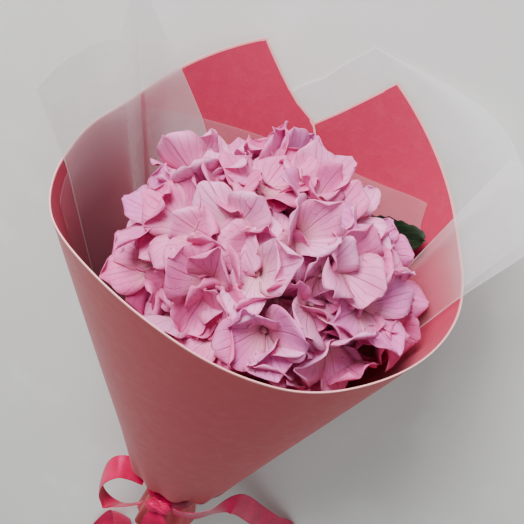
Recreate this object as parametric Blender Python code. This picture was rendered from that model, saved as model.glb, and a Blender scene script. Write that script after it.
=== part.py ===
"""Hand-tied bouquet: one pink mophead hydrangea rolled in a matte pink wrap with frosted film and a ribbon.

The bouquet lies on its back on the floor (z = 0). Every piece is laid out in the bouquet's own
directions and then placed in the world:
  along  = distance up the bouquet's axis from the tie, toward the opening
  side   = to the right as seen with the tie at the bottom and the front facing the viewer
  front  = away from the floor
"""

import math

import bmesh
import bpy
from mathutils import Vector

# ---------------------------------------------------------------- driving dimensions (metres, degrees)
TIE_HEIGHT = 0.036          # axis above the floor at the tie
HEAD_HEIGHT = 0.0735        # axis above the floor at the middle of the flower head
TIE_TO_HEAD = 0.200
AXIS_RISE = math.asin((HEAD_HEIGHT - TIE_HEIGHT) / TIE_TO_HEAD)

WAIST_RADIUS = 0.013        # paper gathered under the ribbon
WAIST_TOP = -0.010
WAIST_BOTTOM = -0.017
SKIRT_END = -0.065
SKIRT_RADIUS = 0.019
CONE_SIDE_AT_TIE = 0.031    # half width just above the pinch
CONE_FRONT_AT_TIE = 0.022
CONE_SIDE_SPREAD = 0.303    # growth of the half width per metre along
CONE_FRONT_SPREAD = 0.277
BACK_HEIGHT_AT_TIE = 0.015  # height of the back of the wrap above the floor
BACK_HEIGHT = 0.0025
BACK_FLAT_FROM = 0.09
BACK_SQUARENESS = 2.6       # 2 is an ellipse, larger is flatter where it lies on the floor

WRAP_THICK = 0.0006
FILM_THICK = 0.0004
SPIRAL = 0.0007             # how far the wrap's two ends pass each other where they overlap

HEAD_SIDE = 0.008
HEAD_FRONT = 0.001
HEAD_ALONG = 0.205
HEAD_HALF_SIDE = 0.0655
HEAD_HALF_FRONT = 0.064
HEAD_HALF_BACK = 0.061
HEAD_HALF_ALONG = 0.056
HEAD_LOWEST = 112.0         # degrees from the top of the dome down to the lowest floret
CYMES = 15
FLORETS_PER_CYME = 3
FLORET_RADIUS = 0.0128
SEPAL_THICK = 0.0009
HUB_DEPTH = 0.027
KNOB_ALONG = 0.160
KNOB_RADIUS = 0.009
STEM_RADIUS = 0.0042
STEM_END = -0.115

RIBBON_WIDTH = 0.015
RIBBON_THICK = 0.0006

# rim of each sheet: (degrees round from the front, distance along), straight between the points
WRAP_RIM = [
    (-205, 0.135), (-190, 0.195), (-182, 0.231), (-170, 0.266), (-155, 0.250), (-140, 0.236),
    (-125, 0.224), (-90, 0.221), (-70, 0.222), (-40, 0.236), (-20, 0.231), (0, 0.218),
    (25, 0.207), (45, 0.213), (90, 0.220), (110, 0.220), (130, 0.232), (150, 0.249),
    (165, 0.266), (178, 0.231), (190, 0.195), (205, 0.135),
]
LINING_RIM = [(-232, 0.205), (-226, 0.222), (-203, 0.214), (-156, 0.217), (-125, 0.224), (-76, 0.212)]
LEFT_FILM_RIM = [(-185, 0.105), (-170, 0.165), (-155, 0.219), (-130, 0.290), (-121, 0.262), (-88, 0.257)]
RIGHT_FILM_RIM = [(88, 0.276), (112, 0.276), (118, 0.268)]
BACK_FILM_RIM = [
    (94, 0.255), (117, 0.264), (133, 0.272), (165, 0.274), (173, 0.277), (177, 0.264),
    (180, 0.250), (190, 0.215), (205, 0.165),
]
COLUMN_STEP = 10.0


# ---------------------------------------------------------------- placing
def place(side, front, along):
    """World position of a point given in the bouquet's own directions."""
    rise, run = math.sin(AXIS_RISE), math.cos(AXIS_RISE)
    return Vector((-side, -along * run + front * rise, TIE_HEIGHT + along * rise + front * run))


def lerp(points, x):
    """Straight-line reading of a list of (x, y) points."""
    if x <= points[0][0]:
        return points[0][1]
    for (x0, y0), (x1, y1) in zip(points, points[1:]):
        if x <= x1:
            return y0 + (y1 - y0) * (x - x0) / (x1 - x0)
    return points[-1][1]


def back_reach(along):
    """From the axis down to the back of the wrap, which comes down to the floor and then lies on it."""
    floor = lerp([(0.0, BACK_HEIGHT_AT_TIE), (BACK_FLAT_FROM, BACK_HEIGHT)], along)
    return (TIE_HEIGHT + along * math.sin(AXIS_RISE) - floor) / math.cos(AXIS_RISE)


def wrap_half_axes(along):
    """Half width, front reach and back reach of the wrap at this distance along."""
    if along >= 0:
        side = CONE_SIDE_AT_TIE + along * CONE_SIDE_SPREAD
        return side, CONE_FRONT_AT_TIE + along * CONE_FRONT_SPREAD, back_reach(along)
    waist = [(SKIRT_END, SKIRT_RADIUS), (WAIST_BOTTOM, WAIST_RADIUS), (WAIST_TOP, WAIST_RADIUS)]
    if along <= WAIST_TOP:
        radius = lerp(waist, along)
        return radius, radius, radius
    half = (0.5 * WAIST_TOP, 0.62)
    full = (CONE_SIDE_AT_TIE, CONE_FRONT_AT_TIE, back_reach(0.0))
    return tuple(lerp([(WAIST_TOP, WAIST_RADIUS), (half[0], half[1] * f + (1 - half[1]) * WAIST_RADIUS), (0.0, f)],
                      along) for f in full)


def wrap_point(degrees, along, lift=0.0):
    """A point on the wrap, lifted outward; degrees run from the front toward the right side."""
    side, front, back = wrap_half_axes(along)
    s, c = math.sin(math.radians(degrees)), math.cos(math.radians(degrees))
    power = 1.0 if c >= 0 else 2 / BACK_SQUARENESS
    reach = (front if c >= 0 else back) + lift
    return place(math.copysign(abs(s) ** power, s) * (side + lift), math.copysign(abs(c) ** power, c) * reach, along)


# ---------------------------------------------------------------- meshes
def material(name, colour, roughness, metallic=0.0):
    made = bpy.data.materials.new(name)
    made.use_nodes = True
    shader = made.node_tree.nodes["Principled BSDF"]
    shader.inputs["Base Color"].default_value = (*colour, 1.0)
    shader.inputs["Roughness"].default_value = roughness
    shader.inputs["Metallic"].default_value = metallic
    return made


def new_object(name, mesh, surface):
    obj = bpy.data.objects.new(name, mesh)
    bpy.context.scene.collection.objects.link(obj)
    mesh.materials.append(surface)
    mesh.shade_smooth()
    mesh.set_sharp_from_angle(angle=math.radians(40))
    return obj


def finish(bm, name, surface):
    bm.normal_update()
    bmesh.ops.recalc_face_normals(bm, faces=bm.faces)
    mesh = bpy.data.meshes.new(name)
    bm.to_mesh(mesh)
    bm.free()
    return new_object(name, mesh, surface)


def shell(name, surface, outer, inner):
    """Closed thin solid between two grids of points with the same rows and columns."""
    bm = bmesh.new()
    sides = [[[bm.verts.new(p) for p in row] for row in grid] for grid in (outer, inner)]
    rows, columns = len(outer), len(outer[0])
    for r in range(rows - 1):
        for c in range(columns - 1):
            for k, g in enumerate(sides):
                quad = [g[r][c], g[r][c + 1], g[r + 1][c + 1], g[r + 1][c]]
                bm.faces.new(quad if k == 0 else quad[::-1])
    a, b = sides
    for r in range(rows - 1):
        bm.faces.new([a[r][0], a[r + 1][0], b[r + 1][0], b[r][0]])
        bm.faces.new([a[r + 1][-1], a[r][-1], b[r][-1], b[r + 1][-1]])
    for c in range(columns - 1):
        bm.faces.new([a[0][c + 1], a[0][c], b[0][c], b[0][c + 1]])
        bm.faces.new([a[-1][c], a[-1][c + 1], b[-1][c + 1], b[-1][c]])
    return finish(bm, name, surface)


def tube_rings(bm, rings, closed_ends=True):
    """Skin over rings of points with equal counts, each ring a closed outline."""
    loops = [[bm.verts.new(p) for p in ring] for ring in rings]
    n = len(loops[0])
    for low, high in zip(loops, loops[1:]):
        for i in range(n):
            bm.faces.new([low[i], low[(i + 1) % n], high[(i + 1) % n], high[i]])
    if closed_ends:
        for ring, way in ((loops[0], -1), (loops[-1], 1)):
            middle = bm.verts.new(sum((v.co for v in ring), Vector()) / n)
            for i in range(n):
                corner = [ring[i], ring[(i + 1) % n], middle]
                bm.faces.new(corner[::way])
    return loops


# ---------------------------------------------------------------- wrap and film
def columns_for(rim):
    """Every tenth degree within the sheet, its own ends, and the corners of its rim."""
    low, high = rim[0][0], rim[-1][0]
    steps = [k * COLUMN_STEP for k in range(-24, 25) if low < k * COLUMN_STEP < high]
    corners = [a for a, _ in rim]
    found = sorted(corners)
    for s in steps:
        if min(abs(s - a) for a in corners) > 3.5:
            found.append(s)
    return sorted(found)


def rolled_sheet(name, surface, rim, bottom, lift, thick):
    """A sheet rolled round the bouquet from its lower edge up to its rim."""
    levels = [a for a in (-0.065, -0.040, -0.017, -0.010, -0.005, 0.0, 0.03, 0.09) if a > bottom + 0.002]
    columns = columns_for(rim)
    grids = []
    for sign in (0.5, -0.5):
        rows = []
        for k, level in enumerate([bottom, *levels, 0.15, 1.0]):
            row = []
            for degrees in columns:
                top = lerp(rim, degrees)
                stop = min(level, 0.5 * (0.09 + top)) if level == 0.15 else min(level, top)
                row.append(wrap_point(degrees, stop, lift(degrees, stop) + sign * thick))
            rows.append(row)
        grids.append(rows)
    return shell(name, surface, grids[0], grids[1])


def wrap_lift(degrees, along):
    return SPIRAL * degrees / 180


def right_film_lift(degrees, along):
    """Stands away from the wrap along its free edge and lies back against it further round."""
    standing = lerp([(88, 0.0), (104, 0.0045), (118, 0.0030)], degrees)
    return -0.0029 - standing * lerp([(0.0, 0.0), (0.15, 1.0)], along)


# ---------------------------------------------------------------- flower head
def dome_points(count):
    """Even spread over the head: (position, outward direction) in side, front, along."""
    lowest = math.cos(math.radians(HEAD_LOWEST))
    golden = math.pi * (3 - math.sqrt(5))
    found = []
    for i in range(count):
        z = 1 - (1 - lowest) * (i + 0.5) / count
        ring = math.sqrt(max(0.0, 1 - z * z))
        turn = golden * i + 0.4
        x, y = ring * math.cos(turn), ring * math.sin(turn)
        half_front = HEAD_HALF_FRONT if y > 0 else HEAD_HALF_BACK
        half_along = HEAD_HALF_ALONG if z > 0 else 0.85 * HEAD_HALF_ALONG
        point = Vector((HEAD_SIDE + HEAD_HALF_SIDE * x, HEAD_FRONT + half_front * y, HEAD_ALONG + half_along * z))
        out = Vector((x / HEAD_HALF_SIDE, y / half_front, z / half_along)).normalized()
        found.append((point, out))
    return found


def grouped(points, size):
    """Nearest florets gathered into cymes, starting from the lowest ones."""
    left = list(range(len(points)))
    groups = []
    while left:
        first = max(left)
        left.remove(first)
        near = sorted(left, key=lambda i: (points[i][0] - points[first][0]).length)
        group = [first, near[0]]
        middle = (points[first][0] + points[near[0]][0]) / 2
        rest = sorted(near[1:], key=lambda i: (points[i][0] - middle).length)
        group += rest[: size - 2]
        for i in group[1:]:
            left.remove(i)
        groups.append(group)
    return groups


def floret_rings(point, out, hub, turn):
    """Four sepals round a small bud on a pedicel that runs down to the hub, as one outline of rings."""
    across = out.cross(Vector((0.31, 0.52, 0.79))).normalized()
    other = out.cross(across)
    down = (hub - point).normalized()
    rings = []
    for radius, height, lobed in (
        (0.0015, 0.0022, False),
        (0.58 * FLORET_RADIUS, 0.0004, True),
        (FLORET_RADIUS, 0.0026, True),
        (FLORET_RADIUS, 0.0026 - SEPAL_THICK, True),
        (0.52 * FLORET_RADIUS, -0.0012, True),
    ):
        ring = []
        for k in range(12):
            angle = turn + math.radians(30 * k)
            reach = radius * (1.0 if not lobed else (0.66, 1.0, 1.0)[k % 3])
            ring.append(point + across * (reach * math.cos(angle)) + other * (reach * math.sin(angle)) + out * height)
        rings.append(ring)
    side_a = down.cross(across).normalized()
    side_b = side_a.cross(down)
    for distance in (0.004, (hub - point).length):
        ring = []
        for k in range(12):
            angle = turn + math.radians(30 * k)
            flat = across * math.cos(angle) + other * math.sin(angle)
            along_a, along_b = flat.dot(side_a), flat.dot(side_b)
            flat = (side_a * along_a + side_b * along_b).normalized()
            ring.append(point + down * distance + flat * 0.0008)
        rings.append(ring)
    return rings


def to_world(rings):
    return [[place(*p) for p in ring] for ring in rings]


def stalk_rings(hub, foot):
    """Short stalk with a rounded head, from the stem's knob to the hub where the pedicels meet."""
    along = (hub - foot).normalized()
    a = along.cross(Vector((0.2, 0.9, 0.37))).normalized()
    b = a.cross(along)
    rings = []
    for spot, radius in ((foot, 0.0013), (hub - along * 0.003, 0.0013), (hub - along * 0.0005, 0.0024),
                         (hub + along * 0.0022, 0.0015)):
        rings.append([spot + (a * math.cos(t) + b * math.sin(t)) * radius
                      for t in (math.tau * k / 8 for k in range(8))])
    return rings


def cyme(name, surface, florets, knob):
    """One branch of the head: its stalk, pedicels and florets joined into one body."""
    middle = sum((p for p, _ in florets), Vector()) / len(florets)
    inward = (knob - middle).normalized()
    hub = middle + inward * HUB_DEPTH
    foot = knob + (hub - knob).normalized() * (KNOB_RADIUS + 0.0004)
    parts = [to_world(stalk_rings(hub, foot))]
    for k, (point, out) in enumerate(florets):
        aim = hub + (hub - point).normalized() * 0.0006
        parts.append(to_world(floret_rings(point, out, aim, 0.7 * k + 9.0 * point.x / HEAD_HALF_SIDE)))
    helpers = []
    for k, rings in enumerate(parts):
        bm = bmesh.new()
        tube_rings(bm, rings)
        helpers.append(finish(bm, f"{name}_part{k}", surface))
    base = helpers[0]
    for other in helpers[1:]:
        joint = base.modifiers.new("join", "BOOLEAN")
        joint.operation = "UNION"
        joint.object = other
    graph = bpy.context.evaluated_depsgraph_get()
    mesh = bpy.data.meshes.new_from_object(base.evaluated_get(graph))
    for helper in helpers:
        bpy.data.objects.remove(helper)
    mesh.name = name
    mesh.materials.clear()
    return new_object(name, mesh, surface)


# ---------------------------------------------------------------- stem and leaves
def stem(surface):
    """The woody stem up the axis with the knob that the branches spring from."""
    profile = [
        (STEM_END, 0.0040), (-0.06, STEM_RADIUS), (0.05, 0.0038), (0.075, 0.0036), (0.080, 0.0048),
        (0.085, 0.0036), (0.13, 0.0034), (0.148, 0.0045), (0.154, 0.0072), (KNOB_ALONG, KNOB_RADIUS),
        (0.166, 0.0066),
    ]
    bm = bmesh.new()
    rings = []
    for along, radius in profile:
        rings.append([place(radius * math.cos(t), radius * math.sin(t), along)
                      for t in (math.tau * k / 14 for k in range(14))])
    tube_rings(bm, rings)
    return finish(bm, "stem", surface)


def leaf(name, surface, path, half_width, tilt):
    """A toothed leaf that follows the inside of the wrap; path is (share, degrees, along, lift)."""
    steps = 15
    grids = []
    for sign in (1, -1):
        rows = []
        for r in range(steps + 1):
            t = r / steps
            degrees, along, lift = (lerp([(p[0], p[k]) for p in path], t) for k in (1, 2, 3))
            blade = max(0.0, (t - 0.28) / 0.72)
            width = 0.0016 + half_width * max(0.0, math.sin(math.pi * min(1.0, blade ** 0.8))) ** 0.8
            tooth = 1.0 if r % 2 or blade <= 0 else 0.86
            row = []
            for s in (-1.0, -0.5, 0.0, 0.5, 1.0):
                offset = s * width * (tooth if abs(s) > 0.9 else 1.0)
                fold = -0.05 * abs(s) * width
                radius = wrap_half_axes(along)[0]
                turn = math.degrees(offset * math.cos(tilt) / radius)
                rise = offset * math.sin(tilt)
                row.append(wrap_point(degrees + turn, along + rise, lift - fold + sign * 0.00035))
            rows.append(row)
        grids.append(rows)
    return shell(name, surface, grids[0], grids[1])


# ---------------------------------------------------------------- ribbon
def smooth_path(points, count):
    """Catmull-Rom curve through the points, read at even steps of its parameter."""
    pts = [Vector(p) for p in points]
    pts = [2 * pts[0] - pts[1], *pts, 2 * pts[-1] - pts[-2]]
    spans = len(pts) - 3
    found = []
    for i in range(count + 1):
        x = min(i / count * spans, spans - 1e-9)
        k, t = int(x), x - int(x)
        a, b, c, d = pts[k : k + 4]
        found.append(0.5 * (2 * b + (c - a) * t + (2 * a - 5 * b + 4 * c - d) * t * t
                            + (3 * b - a - 3 * c + d) * t ** 3))
    return found


def ribbon_strip(name, surface, points, faces_toward, count=14):
    """A flat ribbon along a path of (side, front, along); faces_toward turns its broad face."""
    line = smooth_path(points, count)
    facing = smooth_path(faces_toward, count)
    grids = []
    for sign in (0.5, -0.5):
        rows = []
        for i, spot in enumerate(line):
            forward = (line[min(i + 1, count)] - line[max(i - 1, 0)]).normalized()
            normal = facing[i] - forward * facing[i].dot(forward)
            normal.normalize()
            across = forward.cross(normal)
            rows.append([place(*(spot + across * (RIBBON_WIDTH * e) + normal * (RIBBON_THICK * sign)))
                         for e in (-0.5, 0.0, 0.5)])
        grids.append(rows)
    return shell(name, surface, grids[0], grids[1])


def ribbon_band(surface):
    """The turns of ribbon round the waist, one closed ring."""
    bm = bmesh.new()
    section = [(0.0027, -0.0192), (0.0044, -0.0180), (0.0046, -0.0130), (0.0040, -0.0100), (0.0027, -0.0104)]
    loops = []
    for k in range(24):
        loops.append([bm.verts.new(wrap_point(15.0 * k, along, lift)) for lift, along in section])
    n = len(section)
    for k in range(24):
        a, b = loops[k], loops[(k + 1) % 24]
        for i in range(n):
            bm.faces.new([a[i], a[(i + 1) % n], b[(i + 1) % n], b[i]])
    return finish(bm, "ribbon_band", surface)


def ribbon_knot(surface, middle, sizes):
    """The tied knot, a soft lump in front of the band."""
    bm = bmesh.new()
    bmesh.ops.create_icosphere(bm, subdivisions=2, radius=1.0)
    for v in bm.verts:
        pinch = 1 - 0.18 * math.cos(3 * math.atan2(v.co.y, v.co.x))
        v.co = place(middle[0] + sizes[0] * v.co.x * pinch, middle[1] + sizes[1] * v.co.y,
                     middle[2] + sizes[2] * v.co.z)
    return finish(bm, "ribbon_knot", surface)


# ---------------------------------------------------------------- assembly
def stand_on_floor(objects):
    """Move everything so that the lowest point is at z = 0 and the middle of the box is over the origin."""
    spots = [v.co for obj in objects for v in obj.data.vertices]
    low = Vector([min(p[i] for p in spots) for i in range(3)])
    high = Vector([max(p[i] for p in spots) for i in range(3)])
    shift = Vector((-(low.x + high.x) / 2, -(low.y + high.y) / 2, -low.z))
    for obj in objects:
        for v in obj.data.vertices:
            v.co += shift
        obj.data.update()


def main():
    for obj in list(bpy.data.objects):
        bpy.data.objects.remove(obj)

    sepal_pink = material("sepal_pink", (0.83, 0.50, 0.64), 0.6)
    leaf_green = material("leaf_green", (0.03, 0.09, 0.035), 0.45)
    stem_green = material("stem_green", (0.30, 0.36, 0.16), 0.6)
    wrap_pink = material("wrap_pink", (0.70, 0.20, 0.25), 0.7)
    frosted_film = material("frosted_film", (0.86, 0.86, 0.84), 0.5)
    ribbon_satin = material("ribbon_satin", (0.75, 0.03, 0.14), 0.3)

    made = [stem(stem_green)]

    knob = Vector((0.0, 0.0, KNOB_ALONG))
    points = dome_points(CYMES * FLORETS_PER_CYME)
    for k, group in enumerate(grouped(points, FLORETS_PER_CYME)):
        made.append(cyme(f"cyme_{k + 1:02d}", sepal_pink, [points[i] for i in group], knob))

    made.append(leaf("leaf_upper", leaf_green,
                     [(0.0, 178, 0.088, -0.044), (0.28, 176, 0.115, -0.022), (0.5, 165, 0.155, -0.0065),
                      (0.8, 137, 0.192, -0.0070), (1.0, 118, 0.216, -0.0090)], 0.024, 0.73))
    made.append(leaf("leaf_lower", leaf_green,
                     [(0.0, 92, 0.070, -0.046), (0.28, 98, 0.100, -0.026), (0.5, 102, 0.130, -0.014),
                      (1.0, 108, 0.198, -0.0125)], 0.022, 0.0))

    made.append(rolled_sheet("wrap", wrap_pink, WRAP_RIM, SKIRT_END, wrap_lift, WRAP_THICK))
    made.append(rolled_sheet("film_lining", frosted_film, LINING_RIM, -0.045,
                             lambda d, a: -0.0019, FILM_THICK))
    made.append(rolled_sheet("film_left", frosted_film, LEFT_FILM_RIM, -0.035,
                             lambda d, a: -0.0029, FILM_THICK))
    made.append(rolled_sheet("film_right", frosted_film, RIGHT_FILM_RIM, -0.035, right_film_lift, FILM_THICK))
    made.append(rolled_sheet("film_back", frosted_film, BACK_FILM_RIM, -0.050,
                             lambda d, a: 0.0019, FILM_THICK))

    made.append(ribbon_band(ribbon_satin))
    made.append(ribbon_knot(ribbon_satin, (-0.005, 0.0228, -0.0125), (0.0075, 0.0044, 0.006)))
    made.append(ribbon_strip("ribbon_loop", ribbon_satin,
                             [(-0.0146, 0.0215, -0.0150), (-0.027, 0.0205, -0.029), (-0.0365, 0.018, -0.040),
                              (-0.0455, 0.014, -0.034), (-0.045, 0.011, -0.019), (-0.0385, 0.0085, -0.0090),
                              (-0.030, 0.006, -0.0090), (-0.0195, 0.004, -0.0130)],
                             [(0.6, 0.7, -0.5), (0.4, 0.7, -0.5), (0.0, 0.5, -0.9), (-1.0, 0.3, -0.3),
                              (-1.0, 0.2, 0.3), (-0.4, 0.3, 1.0), (0.3, 0.3, 1.0), (0.6, 0.3, 0.7)]))
    made.append(ribbon_strip("ribbon_tail_front", ribbon_satin,
                             [(-0.0055, 0.0225, -0.0192), (-0.0045, 0.0262, -0.030), (-0.006, 0.0270, -0.050),
                              (-0.012, 0.0220, -0.072), (-0.022, 0.008, -0.092), (-0.031, -0.012, -0.105),
                              (-0.040, -0.0105, -0.128), (-0.045, -0.0065, -0.150)],
                             [(0.0, 1.0, 0.3), (0.0, 1.0, 0.0), (0.0, 1.0, 0.0), (-0.1, 1.0, -0.2),
                              (-0.2, 0.7, -0.8), (-0.2, 0.8, -0.7), (0.0, 1.0, 0.18), (0.0, 1.0, 0.18)]))
    made.append(ribbon_strip("ribbon_tail_side", ribbon_satin,
                             [(0.0045, 0.0225, -0.0125), (0.0160, 0.0225, -0.0105), (0.0280, 0.0185, -0.0050),
                              (0.0385, 0.0120, -0.0010), (0.0460, 0.0060, -0.0080), (0.0598, -0.0040, -0.0310),
                              (0.0726, -0.0120, -0.0489), (0.0830, -0.0205, -0.0620), (0.0900, -0.0208, -0.0750),
                              (0.0980, -0.0178, -0.0905)],
                             [(0.0, 1.0, -0.2), (0.1, 1.0, -0.3), (0.4, 0.9, -0.3), (0.6, 0.7, 0.3),
                              (0.8, 0.6, 0.3), (0.7, 0.7, 0.3), (0.6, 0.8, 0.3), (0.3, 0.9, 0.2),
                              (0.0, 1.0, 0.18), (0.0, 1.0, 0.18)], 18))

    stand_on_floor(made)


main()
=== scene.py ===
import math
import random

import bpy
from mathutils import Matrix, Vector, noise


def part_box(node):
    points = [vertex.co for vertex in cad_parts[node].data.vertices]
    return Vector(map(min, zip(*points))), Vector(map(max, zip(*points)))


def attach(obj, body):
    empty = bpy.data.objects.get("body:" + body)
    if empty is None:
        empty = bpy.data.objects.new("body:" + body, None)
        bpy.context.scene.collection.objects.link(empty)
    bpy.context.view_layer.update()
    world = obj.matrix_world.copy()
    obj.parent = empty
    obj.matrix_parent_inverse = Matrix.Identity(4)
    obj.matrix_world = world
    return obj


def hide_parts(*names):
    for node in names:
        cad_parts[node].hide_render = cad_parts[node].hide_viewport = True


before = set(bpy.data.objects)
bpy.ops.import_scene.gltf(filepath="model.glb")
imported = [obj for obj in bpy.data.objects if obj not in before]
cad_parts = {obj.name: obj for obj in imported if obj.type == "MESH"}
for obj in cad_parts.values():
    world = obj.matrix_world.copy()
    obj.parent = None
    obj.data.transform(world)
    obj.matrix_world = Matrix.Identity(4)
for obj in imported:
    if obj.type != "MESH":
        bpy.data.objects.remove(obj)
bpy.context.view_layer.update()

bouquet = {  # metres; the bouquet's own directions are side, front and along its axis from the tie
    "tieHeight": 0.036, "headHeight": 0.0735, "tieToHead": 0.200,
    "waistRadius": 0.013, "waistTop": -0.010, "waistBottom": -0.017,
    "skirtEnd": -0.065, "skirtRadius": 0.019,
    "coneSide": 0.031, "coneFront": 0.022, "sideSpread": 0.303, "frontSpread": 0.277,
    "backAtTie": 0.015, "backHeight": 0.0025, "backFlatFrom": 0.09, "backSquareness": 2.6,
    "stemEnd": -0.115, "stemEndRadius": 0.004, "knobAlong": 0.160,
}
rise = (bouquet["headHeight"] - bouquet["tieHeight"]) / bouquet["tieToHead"]
run = math.sqrt(1 - rise * rise)

# where the solids stand: the stem's box against the stem's own numbers
stemLow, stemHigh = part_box("stem")
endReach = bouquet["stemEndRadius"] * math.sin(math.tau * 3 / 14)
offset = Vector((
    (stemLow[0] + stemHigh[0]) / 2,
    stemHigh[1] - (-bouquet["stemEnd"] * run + endReach * rise),
    stemLow[2] - (bouquet["tieHeight"] + bouquet["stemEnd"] * rise - endReach * run),
))


def place(side, front, along):
    return Vector((-side, -along * run + front * rise, bouquet["tieHeight"] + along * rise + front * run)) + offset


def turned(side, front, along):
    # a direction, not a place
    return Vector((-side, -along * run + front * rise, along * rise + front * run))


def readOff(points, x):
    if x <= points[0][0]:
        return points[0][1]
    for (x0, y0), (x1, y1) in zip(points, points[1:]):
        if x <= x1:
            return y0 + (y1 - y0) * (x - x0) / (x1 - x0)
    return points[-1][1]


def smooth01(x):
    x = min(1.0, max(0.0, x))
    return x * x * (3 - 2 * x)


def backReach(along):
    floor = readOff([(0.0, bouquet["backAtTie"]), (bouquet["backFlatFrom"], bouquet["backHeight"])], along)
    return (bouquet["tieHeight"] + along * rise - floor) / run


def halfAxes(along):
    if along >= 0:
        return (bouquet["coneSide"] + along * bouquet["sideSpread"],
                bouquet["coneFront"] + along * bouquet["frontSpread"], backReach(along))
    waist = [(bouquet["skirtEnd"], bouquet["skirtRadius"]), (bouquet["waistBottom"], bouquet["waistRadius"]),
             (bouquet["waistTop"], bouquet["waistRadius"])]
    if along <= bouquet["waistTop"]:
        return (readOff(waist, along),) * 3
    t = 1 - along / bouquet["waistTop"]
    t = 0.45 * smooth01(t) + 0.55 * math.sin(t * math.pi / 2)  # bulges out above the pinch
    return tuple(bouquet["waistRadius"] + (f - bouquet["waistRadius"]) * t
                 for f in (bouquet["coneSide"], bouquet["coneFront"], backReach(0.0)))


def pleat(degrees, along):
    # gathered paper: folds that are deep at the waist and die out up the cone
    depth = readOff([(-0.07, 0.0012), (-0.02, 0.0007), (-0.008, 0.0008), (0.0, 0.0011), (0.02, 0.0005), (0.055, 0.0)],
                    along)
    a = math.radians(degrees)
    return depth * (math.sin(11 * a + 0.6) + 0.5 * math.sin(7 * a + 2.0))


def wrapPoint(degrees, along, lift=0.0):
    side, front, back = halfAxes(along)
    s, c = math.sin(math.radians(degrees)), math.cos(math.radians(degrees))
    power = 1.0 if c >= 0 else 2 / bouquet["backSquareness"]
    lift += pleat(degrees, along)
    reach = (front if c >= 0 else back) + lift
    return place(math.copysign(abs(s) ** power, s) * (side + lift), math.copysign(abs(c) ** power, c) * reach, along)


# ------------------------------------------------ small helpers
def deselectAll():
    for obj in list(bpy.context.selected_objects):
        obj.select_set(False)


def makeActive(obj):
    deselectAll()
    obj.select_set(True)
    bpy.context.view_layer.objects.active = obj


def applyModifiers(obj):
    makeActive(obj)
    for modifier in list(obj.modifiers):
        bpy.ops.object.modifier_apply(modifier=modifier.name)


def gridPiece(name, columns, rows, spotAt, uvAt):
    # a grid primitive whose corners are carried to their places, with the flat sheet as its UV map
    deselectAll()
    bpy.ops.mesh.primitive_grid_add(x_subdivisions=columns, y_subdivisions=rows, size=2, calc_uvs=True)
    obj = bpy.context.object
    obj.name = obj.data.name = name
    mesh = obj.data
    xs = sorted({round(v.co.x, 5) for v in mesh.vertices})
    ys = sorted({round(v.co.y, 5) for v in mesh.vertices})
    column = {x: i for i, x in enumerate(xs)}
    row = {y: j for j, y in enumerate(ys)}
    where = [(column[round(v.co.x, 5)], row[round(v.co.y, 5)]) for v in mesh.vertices]
    spots = [spotAt(i / (len(xs) - 1), j / (len(ys) - 1), i, j) for i, j in where]
    uvs = [uvAt(i / (len(xs) - 1), j / (len(ys) - 1), i, j) for i, j in where]
    for v, spot in zip(mesh.vertices, spots):
        v.co = spot
    layer = mesh.uv_layers.active.data
    for loop in mesh.loops:
        layer[loop.index].uv = uvs[loop.vertex_index]
    mesh.update()
    return obj


def thicken(obj, thickness, offsetSide=0.0, inside=0, edge=0):
    wall = obj.modifiers.new("wall", "SOLIDIFY")
    wall.thickness = thickness
    wall.offset = offsetSide
    wall.material_offset = inside
    wall.material_offset_rim = edge
    applyModifiers(obj)


def faceOutward(obj):
    makeActive(obj)
    bpy.ops.object.mode_set(mode="EDIT")
    bpy.ops.mesh.select_all(action="SELECT")
    bpy.ops.mesh.normals_make_consistent(inside=False)
    bpy.ops.object.mode_set(mode="OBJECT")


def smoothShade(obj, angle=50):
    makeActive(obj)
    bpy.ops.object.shade_smooth_by_angle(angle=math.radians(angle))


# ------------------------------------------------ materials
def newMaterial(name):
    made = bpy.data.materials.new(name)
    made.use_nodes = True
    tree = made.node_tree
    return made, tree, tree.nodes["Principled BSDF"]


def addNode(tree, kind, settings=None, links=None, **values):
    node = tree.nodes.new(kind)
    for key, value in (settings or {}).items():
        setattr(node, key, value)
    for key, value in values.items():
        node.inputs[key.replace("_", " ")].default_value = value
    for key, source in (links or {}).items():
        tree.links.new(source, node.inputs[key])
    return node


def math2(tree, operation, a, b=None, c=None):
    node = tree.nodes.new("ShaderNodeMath")
    node.operation = operation
    for k, value in enumerate((a, b, c)):
        if value is None:
            continue
        if isinstance(value, (int, float)):
            node.inputs[k].default_value = value
        else:
            tree.links.new(value, node.inputs[k])
    return node.outputs[0]


def mixColour(tree, factor, a, b, blend="MIX"):
    node = tree.nodes.new("ShaderNodeMix")
    node.data_type = "RGBA"
    node.blend_type = blend
    for socket, value in ((node.inputs[0], factor), (node.inputs[6], a), (node.inputs[7], b)):
        if isinstance(value, (tuple, list)):
            socket.default_value = (*value, 1.0) if len(value) == 3 else value
        elif isinstance(value, (int, float)):
            socket.default_value = value
        else:
            tree.links.new(value, socket)
    return node.outputs[2]


def between(tree, value, low, high, outLow=0.0, outHigh=1.0):
    node = tree.nodes.new("ShaderNodeMapRange")
    node.interpolation_type = "SMOOTHSTEP"
    tree.links.new(value, node.inputs["Value"])
    for key, number in (("From Min", low), ("From Max", high), ("To Min", outLow), ("To Max", outHigh)):
        node.inputs[key].default_value = number
    return node.outputs["Result"]


def noiseAt(tree, coordinates, scale, detail=3.0, roughness=0.5, distortion=0.0):
    node = addNode(tree, "ShaderNodeTexNoise", Scale=scale, Detail=detail, Roughness=roughness, Distortion=distortion)
    tree.links.new(coordinates, node.inputs["Vector"])
    return node.outputs["Fac"]


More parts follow.
